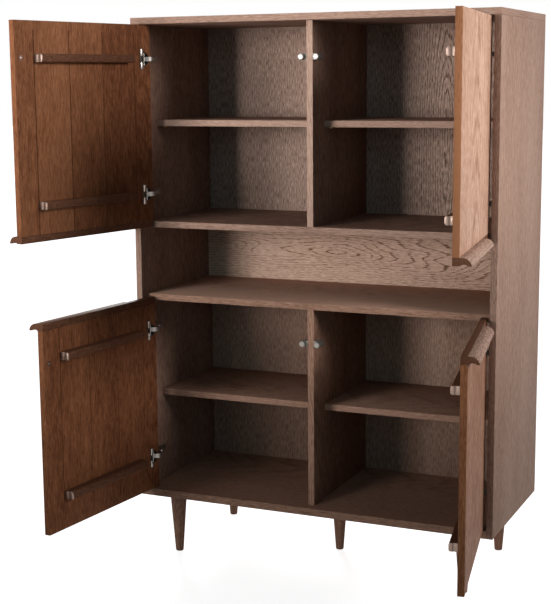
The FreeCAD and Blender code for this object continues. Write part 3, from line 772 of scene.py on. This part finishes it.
# %% [markdown]
# ## The legs
#
# The legs are turned on a lathe, so each is a profile spun round its axis: a straight taper that ends in a
# softly rounded foot, with a slight step under the shoulder. A cone would be quicker, but it has neither.
# A small plane is merged into one point, that point is extruded along the profile, and the line is spun
# round in 48 steps.

# %% The profile of a leg
LEG_STEPS = 48
FOOT_RADIUS = 11 * MM
FOOT_ROUND = 3 * MM
ROUND_STEPS = 4
TAPER_STEPS = 12
SHOULDER_STEP = 0.4 * MM
SHOULDER_DROP = 1.5 * MM


def leg_profile(foot, shoulder, tall):
    """Half section of the leg from the middle of the foot to the middle of the top."""
    points = [(0, 0), (foot - FOOT_ROUND, 0)]
    for step in range(1, ROUND_STEPS + 1):
        turn = math.radians(90 * step / ROUND_STEPS)
        points.append((foot - FOOT_ROUND * (1 - math.sin(turn)), FOOT_ROUND * (1 - math.cos(turn))))
    for step in range(1, TAPER_STEPS):
        share = step / TAPER_STEPS
        points.append((foot + (shoulder - foot) * share, FOOT_ROUND + (tall - 2 * FOOT_ROUND) * share))
    points += [(shoulder - SHOULDER_STEP, tall - SHOULDER_DROP), (shoulder, tall), (0, tall)]
    return points


def drawn_line(points, name):
    """A line through the points, drawn by extruding one point along them."""
    bpy.ops.mesh.primitive_plane_add(size=10 * MM, location=points[0])
    line = bpy.context.object
    line.name = name
    bpy.ops.object.transform_apply()
    only(line)
    bpy.ops.object.mode_set(mode="EDIT")
    bpy.ops.mesh.select_mode(type="VERT")
    bpy.ops.mesh.select_all(action="SELECT")
    bpy.ops.mesh.merge(type="CENTER")
    for here, there in zip(points, points[1:]):
        bpy.ops.mesh.extrude_region_move(TRANSFORM_OT_translate={"value": there - here})
    bpy.ops.object.mode_set(mode="OBJECT")
    return line


# %% Turn the legs
LEG_NODES = [name for name in frame["nodes"] if name.endswith("_leg")]
SEAM = 0.01 * MM
HEART_BESIDE = 10 * MM
HEART_BEHIND = 30 * MM


def turned_leg(node, number):
    """One leg, spun from its profile."""
    low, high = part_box(node)
    centre = (low + high) / 2
    shoulder = (high.x - low.x) / 2
    points = []
    for radius, height in leg_profile(FOOT_RADIUS, shoulder, high.z - low.z):
        points.append(Vector((centre.x + radius, centre.y, low.z + height)))
    leg = drawn_line(points, node + "_turned")
    bpy.ops.object.mode_set(mode="EDIT")
    bpy.ops.mesh.select_all(action="SELECT")
    bpy.ops.mesh.spin(steps=LEG_STEPS, angle=math.tau, center=(centre.x, centre.y, 0), axis=(0, 0, 1))
    bpy.ops.mesh.select_all(action="SELECT")
    bpy.ops.mesh.remove_doubles(threshold=SEAM)
    bpy.ops.mesh.normals_make_consistent(inside=False)
    bpy.ops.object.mode_set(mode="OBJECT")
    smooth(leg, 40)
    lay_grain(leg, "carcass", "upright_facing_front", heart=centre.x + HEART_BESIDE,
              depth=HEART_BEHIND - centre.y, shift=1.1 * number)
    return finish_piece(leg, "carcass", leg_wood, "leg_wood", node)


for number, node in enumerate(LEG_NODES):
    leg = turned_leg(node, number)
    print(node, "is", round(leg.dimensions.z / MM), "mm tall with", len(leg.data.polygons), "faces")

# %% [markdown]
# ## Screws
#
# A cross-headed screw is modelled once in each of two sizes: a low round head with its edge rounded over,
# and a cross sunk into it with a boolean. It is then copied to each place in the hinges, battens and
# strikes. There are under a hundred screws, so each copy can have a mesh of its own, and the screws that
# belong together are joined into one piece.

# %% Model one screw head
SCREW_SIDES = 20
HINGE_SCREW = (3.4 * MM, 1.6 * MM)
SMALL_SCREW = (2.4 * MM, 0.9 * MM)
ROUNDED_SHARE = 0.45
CROSS_SHARES = (1.15, 0.24, 0.9)


def screw_head(radius, height):
    """A round head with a cross recess, standing on the origin and facing up."""
    bpy.ops.mesh.primitive_cylinder_add(vertices=SCREW_SIDES, radius=radius, depth=height,
                                        location=(0, 0, height / 2))
    head = bpy.context.object
    bpy.ops.object.transform_apply()
    rounded(head, height * ROUNDED_SHARE, 50, segments=3)
    bars = []
    for turn in (0, 90):
        bpy.ops.mesh.primitive_cube_add(size=1, location=(0, 0, height),
                                        rotation=(0, 0, math.radians(turn)))
        bar = bpy.context.object
        bar.scale = (radius * CROSS_SHARES[0], radius * CROSS_SHARES[1], height * CROSS_SHARES[2])
        bpy.ops.object.transform_apply()
        bars.append(bar)
    for bar in bars:
        cut_out(head, bar)
    head.name = "screw_pattern"
    return smooth(head, 40)


def screws_at(pattern, places, name):
    """Copies of a screw head at each (place, facing) joined into one piece."""
    copies = []
    for place, facing in places:
        only(pattern)
        bpy.ops.object.duplicate()
        head = bpy.context.object
        turn = facing.to_track_quat("Z", "Y").to_matrix().to_4x4()
        head.data.transform(Matrix.Translation(place) @ turn)
        copies.append(head)
    return joined(copies, name)


hinge_screw = screw_head(*HINGE_SCREW)
small_screw = screw_head(*SMALL_SCREW)
print("faces on a screw head:", len(hinge_screw.data.polygons))

# %% [markdown]
# ## Concealed hinges
#
# Each hinge has a cup let into the door, a flange screwed to the door, a cranked arm that reaches out of
# the cup round the door's edge, and a mounting plate on the side. The arm carries two adjusting screws.
# The construction pieces are copied and their edges rounded as pressed steel is. The two ears of the
# flange are domed and bright, and catch the light that the flat ones would miss. An ear is a slice off the
# side of a wide cylinder: it is cut once and copied.

# %% The pressed parts of the hinges
LONGEST_SCREW = 15 * MM


def without_screws(piece):
    """Take the plain screws out of a copy; they are its only short loose parts."""
    only(piece)
    bpy.ops.object.mode_set(mode="EDIT")
    bpy.ops.mesh.separate(type="LOOSE")
    bpy.ops.object.mode_set(mode="OBJECT")
    kept = []
    for part in list(bpy.context.selected_objects):
        if max(part.dimensions) > LONGEST_SCREW:
            kept.append(part)
        else:
            bpy.data.objects.remove(part)
    return joined(kept, kept[0].name)


def pressed(node, name, body, material, slot, width=0.3 * MM):
    """A pressed or cast metal piece with slightly rounded edges."""
    piece = copy_of(node, name)
    if "cups" in name:
        piece = without_screws(piece)
        piece.name = name
    rounded(piece, width, 40, segments=1)
    smooth(piece, 35)
    return finish_piece(piece, body, material, slot, node)


# %% The ears of the flanges
EAR = {"width": 9 * MM, "tall": 18 * MM, "rise": 1.4 * MM}


def flange_ear(width, tall, rise):
    """A domed strip that lies along Y and bulges towards Z, cut from the side of a cylinder."""
    radius = (width * width / 4 + rise * rise) / (2 * rise)
    bpy.ops.mesh.primitive_cylinder_add(vertices=96, radius=radius, depth=tall, location=(0, 0, 0),
                                        rotation=(math.radians(90), 0, 0))
    ear = bpy.context.object
    bpy.ops.object.transform_apply()
    only(ear)
    bpy.ops.object.mode_set(mode="EDIT")
    bpy.ops.mesh.select_all(action="SELECT")
    bpy.ops.mesh.bisect(plane_co=(0, 0, radius - rise), plane_no=(0, 0, 1), use_fill=True, clear_inner=True)
    bpy.ops.mesh.select_all(action="SELECT")
    bpy.ops.transform.translate(value=(0, 0, rise - radius))
    bpy.ops.object.mode_set(mode="OBJECT")
    rounded(ear, 0.5 * MM, 50)
    ear.name = "ear_pattern"
    return smooth(ear, 35)


ear_pattern = flange_ear(**EAR)
print("rise of a flange ear:", round(EAR["rise"] / MM, 1), "mm")

# %% Where the hinges' screws and ears go
HINGE_HALF_TALL = 26 * MM
CUP_SCREW = Vector((32.5, 1.6, 21)) * MM
EAR_FROM_MIDDLE = 16.8 * MM
ARM_FACE = 4.5 * MM
ARM_SCREWS = (30 * MM, 58 * MM)
PLATE_THICK = 4 * MM
PLATE_SCREW_BACK = 8 * MM
PLATE_SCREW_DROP = 16 * MM


def hinge_heights(door):
    """The height of the middle of each hinge of a door."""
    low, high = own_box(door + "_hinge_cups", door + "_door")
    return (low.z + HINGE_HALF_TALL, high.z - HINGE_HALF_TALL)


def inward(door):
    """The direction from a cabinet side towards the middle, on the side where the door hangs."""
    return Vector((1 if "left" in door else -1, 0, 0))


def on_flange(door, from_middle):
    """A place on each ear of the two flanges, with the direction that the inner face looks."""
    matrix = body_frame[door + "_door"]
    face = own_box(door + "_hinge_cups", door + "_door")[1].y - CUP_SCREW.y
    places = []
    for height in hinge_heights(door):
        for side in (-1, 1):
            spot = matrix @ Vector((CUP_SCREW.x, face, height + side * from_middle))
            places.append((spot, matrix.col[THROUGH].to_3d()))
    return places


def on_arm(door):
    """The places of the adjusting screws along the two arms."""
    pin = Vector(joints[door + "_door"]["pos_m"])
    face = pin.x - inward(door).x * ARM_FACE
    places = []
    for height in hinge_heights(door):
        for reach in ARM_SCREWS:
            places.append((Vector((face, pin.y + reach, height)), inward(door)))
    return places


def on_plates(door):
    """The places of the screws of the two mounting plates."""
    low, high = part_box("hinge_mounting_plates")
    face = -inward(door).x * (high.x - PLATE_THICK)
    places = []
    for height in hinge_heights(door):
        for side in (-1, 1):
            spot = Vector((face, low.y + PLATE_SCREW_BACK, height + side * PLATE_SCREW_DROP))
            places.append((spot, inward(door)))
    return places


# %% Put the hinges together
plate_places = []
for door in DOORS:
    body = door + "_door"
    pressed(door + "_hinge_cups", door + "_cups", body, shaded_cup_metal, "hinge_nickel")
    pressed(door + "_hinge_arms", door + "_arms", "carcass", shaded_hinge_metal, "hinge_nickel")
    screws = screws_at(hinge_screw, on_flange(door, CUP_SCREW.z), door + "_cup_screws")
    finish_piece(screws, body, nickel, "hinge_nickel")
    ears = screws_at(ear_pattern, on_flange(door, EAR_FROM_MIDDLE), door + "_flange_ears")
    finish_piece(ears, body, nickel, "hinge_nickel")
    screws = screws_at(hinge_screw, on_arm(door), door + "_arm_screws")
    finish_piece(screws, "carcass", nickel, "hinge_nickel")
    plate_places += on_plates(door)
pressed("hinge_mounting_plates", "hinge_plates", "carcass", shaded_hinge_metal, "hinge_nickel")
screws = screws_at(hinge_screw, plate_places, "plate_screw_heads")
finish_piece(screws, "carcass", nickel, "screw_steel", "hinge_plate_screws")
print("screws in the mounting plates:", len(plate_places))

# %% [markdown]
# ## Catches, strikes and batten screws
#
# A magnetic catch sits on each side of each partition, and a small round strike on each door meets it.
# The magnet shows as a disc in the front of the housing. When a door is closed, there is only a third of a
# millimetre between strike and catch, so the strike's screw lies in a seat that a boolean cuts for it. The
# battens are held with dark screws, one near each end and one in the middle.

# %% The catches and their magnets
CATCH_RADIUS = 8 * MM
MAGNET = {"radius": 5.2 * MM, "depth": 0.4 * MM}
MAGNET_FROM_MIDDLE = 20.5 * MM
pressed("magnetic_catches", "catches", "carcass", shaded_catch_metal, "catch_nickel", width=0.6 * MM)
catch_low, catch_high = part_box("magnetic_catches")
magnets = []
for hand in (-1, 1):
    for height in (catch_low.z + CATCH_RADIUS, catch_high.z - CATCH_RADIUS):
        bpy.ops.mesh.primitive_cylinder_add(
            vertices=28, **MAGNET, rotation=(math.radians(90), 0, 0),
            location=(hand * MAGNET_FROM_MIDDLE, catch_low.y, height))
        magnet = bpy.context.object
        bpy.ops.object.transform_apply()
        rounded(magnet, 0.15 * MM, 30, segments=1)
        magnets.append(magnet)
print("magnets:", len(magnets))
magnets = smooth(joined(magnets, "catch_magnets"))
finish_piece(magnets, "carcass", shaded_cup_metal, "catch_nickel")

# %% The strikes
STRIKE_SINK = 0.9 * MM
SEAT = {"radius": 2.6 * MM, "depth": 2 * MM}


def strike_with_screw(door):
    """The strike of one door, with its screw in a seat that leaves the strike's face free."""
    body = door + "_door"
    matrix = body_frame[body]
    strike = pressed(door + "_catch_strike", door + "_strike", body, bronze, "strike_steel")
    low, high = own_box(door + "_catch_strike", body)
    middle = (low + high) / 2
    facing = matrix.col[THROUGH].to_3d()
    spot = matrix @ Vector((middle.x, high.y - STRIKE_SINK, middle.z))
    bpy.ops.mesh.primitive_cylinder_add(
        vertices=SCREW_SIDES, **SEAT, location=spot + facing * (SEAT["depth"] / 2),
        rotation=facing.to_track_quat("Z", "Y").to_euler())
    cut_out(strike, bpy.context.object)
    screw = screws_at(small_screw, [(spot, facing)], door + "_strike_screw")
    finish_piece(screw, body, nickel, "strike_steel")
    print(door, "strike is", round((high.x - low.x) / MM), "mm across")


# %% The battens' screws
SCREW_FROM_FREE_END = 28 * MM
SCREW_IN_MIDDLE = 239.5 * MM
SCREW_FROM_HINGE_END = 10 * MM
BATTEN_SINK = 0.5 * MM


def batten_screws(door):
    """Three dark screws in each of the two battens of a door."""
    matrix = body_frame[door + "_door"]
    places = []
    for height in ("top", "bottom"):
        low, high = own_box("%s_%s_batten" % (door, height), door + "_door")
        for along in (high.x - SCREW_FROM_FREE_END, SCREW_IN_MIDDLE, low.x + SCREW_FROM_HINGE_END):
            spot = matrix @ Vector((along, high.y - BATTEN_SINK, (low.z + high.z) / 2))
            places.append((spot, matrix.col[THROUGH].to_3d()))
    screws = screws_at(small_screw, places, door + "_batten_screws")
    finish_piece(screws, door + "_door", dark_screw, "batten_wood")
    print(door, "battens:", len(places), "screws")


for door in DOORS:
    strike_with_screw(door)
    batten_screws(door)

# %% [markdown]
# ## What stays as it is
#
# The shelf pins, hinge pins, dowels, bolts and inserts keep their construction shape, and only need their
# metal or wood. The patterns of the screws and the ear have done their work and go.

# %% Finish the small pieces and tidy up
SMALL_PIECES = {"shelf_pins": brass, "hinge_pins": steel, "dowels": beech, "leg_bolts": steel,
                "leg_inserts": brass}
for node, material in SMALL_PIECES.items():
    shown = frame["nodes"][node]
    shown.data.materials.clear()
    shown.data.materials.append(material)
    print(node, "in", material.name)
for pattern in (hinge_screw, small_screw, ear_pattern):
    bpy.data.objects.remove(pattern)

# %% [markdown]
# ## Studio
#
# The cabinet stands on a plain pale floor. A large soft lamp on the left in front reaches into the
# cupboards and leaves the left part of each back in shadow. A second one on the right lights the right side
# and the outside of the right doors at a low angle, and a third stands behind on the right. One more lamp
# behind on the left keeps the back from going black in other views. A weak, cool lamp in front stands for
# the light that a white room throws back into the dark cupboards. The rest is an even, weak sky.
#
# The background is white because the camera, and the rays that a shiny surface sends out, see the sky and
# the far floor at full brightness. The light that falls on the cabinet doesn't depend on it.

# %% The white that the camera sees


def seen_at_once(tree):
    """1 for what the camera sees, directly or in a mirror, and 0 for the light on the object."""
    path = add(tree, "LightPath")
    seen = sum_of(tree, "MAXIMUM", path.outputs["Is Camera Ray"], path.outputs["Is Glossy Ray"])
    return sum_of(tree, "MAXIMUM", seen, path.outputs["Is Transmission Ray"])


# %% The floor
FLOOR_SIZE = 60
FLOOR_FADE = {"From Min": 0.8, "From Max": 2.4, "To Min": 0.83, "To Max": 1.0}


def floor():
    """A pale floor with the object's shadow, which fades into white further away."""
    bpy.ops.mesh.primitive_plane_add(size=FLOOR_SIZE, location=(0, 0, 0))
    ground = bpy.context.object
    ground.name = "floor"
    material, tree, shader = blank_finish("floor_white")
    shader.inputs["Base Color"].default_value = (0.9, 0.9, 0.9, 1)
    shader.inputs["Roughness"].default_value = 0.6
    shader.inputs["Specular IOR Level"].default_value = 0.1
    shader.inputs["Emission Color"].default_value = (1, 1, 1, 1)
    away = add(tree, "VectorMath", {"operation": "LENGTH"})
    tree.links.new(add(tree, "TexCoord").outputs["Object"], away.inputs[0])
    level = add(tree, "MapRange", Value=away.outputs["Value"])
    for socket, value in FLOOR_FADE.items():
        level.inputs[socket].default_value = value
    glow = sum_of(tree, "MULTIPLY", seen_at_once(tree), level.outputs["Result"])
    tree.links.new(glow, shader.inputs["Emission Strength"])
    ground.data.materials.append(material)


floor()

# %% The lamps


def lamp(name, place, target, size, power, spread, colour=(1, 1, 1)):
    """A square soft lamp that points at a target; a small spread keeps its light from straying."""
    bpy.ops.object.light_add(type="AREA", location=place)
    light = bpy.context.object
    light.name = name
    light.data.shape = "SQUARE"
    light.data.size = size
    light.data.energy = power
    light.data.spread = math.radians(spread)
    light.data.color = colour
    light.rotation_euler = (Vector(target) - Vector(place)).to_track_quat("-Z", "Y").to_euler()
    print(name, "lamp of", power, "watts")
    return light


lamp("key", place=(-1.5, -3.9, 1.45), target=(-0.3, -0.2, 1.7), size=1.1, power=17, spread=50)
lamp("side", place=(3.2, -0.9, 2.0), target=(0.55, -0.45, 1.3), size=1.0, power=5.6, spread=40)
lamp("rear", place=(2.8, 1.4, 2.0), target=(0.5, -0.1, 1.0), size=1.2, power=4.0, spread=60)
lamp("back", place=(-2.4, 3.7, 2.0), target=(0.0, 0.2, 0.8), size=1.4, power=10, spread=50)
fill = lamp("fill", place=(1.1, -3.9, 1.7), target=(-0.1, 0, 0.9), size=1.6, power=1.3, spread=60,
            colour=(0.4, 0.85, 1.0))
fill.visible_glossy = False

# %% The sky
SKY_STRENGTH = 0.15
SKY_COLOUR = (0.9, 0.95, 1.0, 1)
WHITE = (1, 1, 1, 1)


def sky(strength):
    """Even light with a slightly cool tone, which the camera sees as white."""
    world = bpy.data.worlds.new("studio")
    scene.world = world
    world.use_nodes = True
    tree = world.node_tree
    background = tree.nodes["Background"]
    seen = seen_at_once(tree)
    tree.links.new(ramp(tree, seen, [(0.0, SKY_COLOUR), (1.0, WHITE)]), background.inputs["Color"])
    amount = sum_of(tree, "MULTIPLY_ADD", seen, 1 - strength, strength)
    tree.links.new(amount, background.inputs["Strength"])


sky(SKY_STRENGTH)

# %% [markdown]
# ## Camera
#
# The camera stands to the right of the cabinet, at about the height of the upper doors, and looks slightly
# down. Its place, its turn and its lens come from matching the straight edges of the photograph.

# %% The camera of the photograph
CAMERA_PLACE = (1.3388, -3.4143, 1.3055)
CAMERA_TURN = math.radians(24.15)
CAMERA_DOWN = math.radians(9.31)
CAMERA_LEAN = math.radians(0.48)
CAMERA_LENS = 81.0
CAMERA_SENSOR = 36
bpy.ops.object.camera_add()
camera = bpy.context.object
camera.name = "photo_camera"
camera.data.sensor_width = CAMERA_SENSOR
camera.data.lens = CAMERA_LENS
camera.matrix_world = (Matrix.Translation(CAMERA_PLACE) @ Matrix.Rotation(CAMERA_TURN, 4, "Z")
                       @ Matrix.Rotation(math.pi / 2 - CAMERA_DOWN, 4, "X")
                       @ Matrix.Rotation(-CAMERA_LEAN, 4, "Z"))
scene.camera = camera
scene.view_settings.view_transform = "Standard"
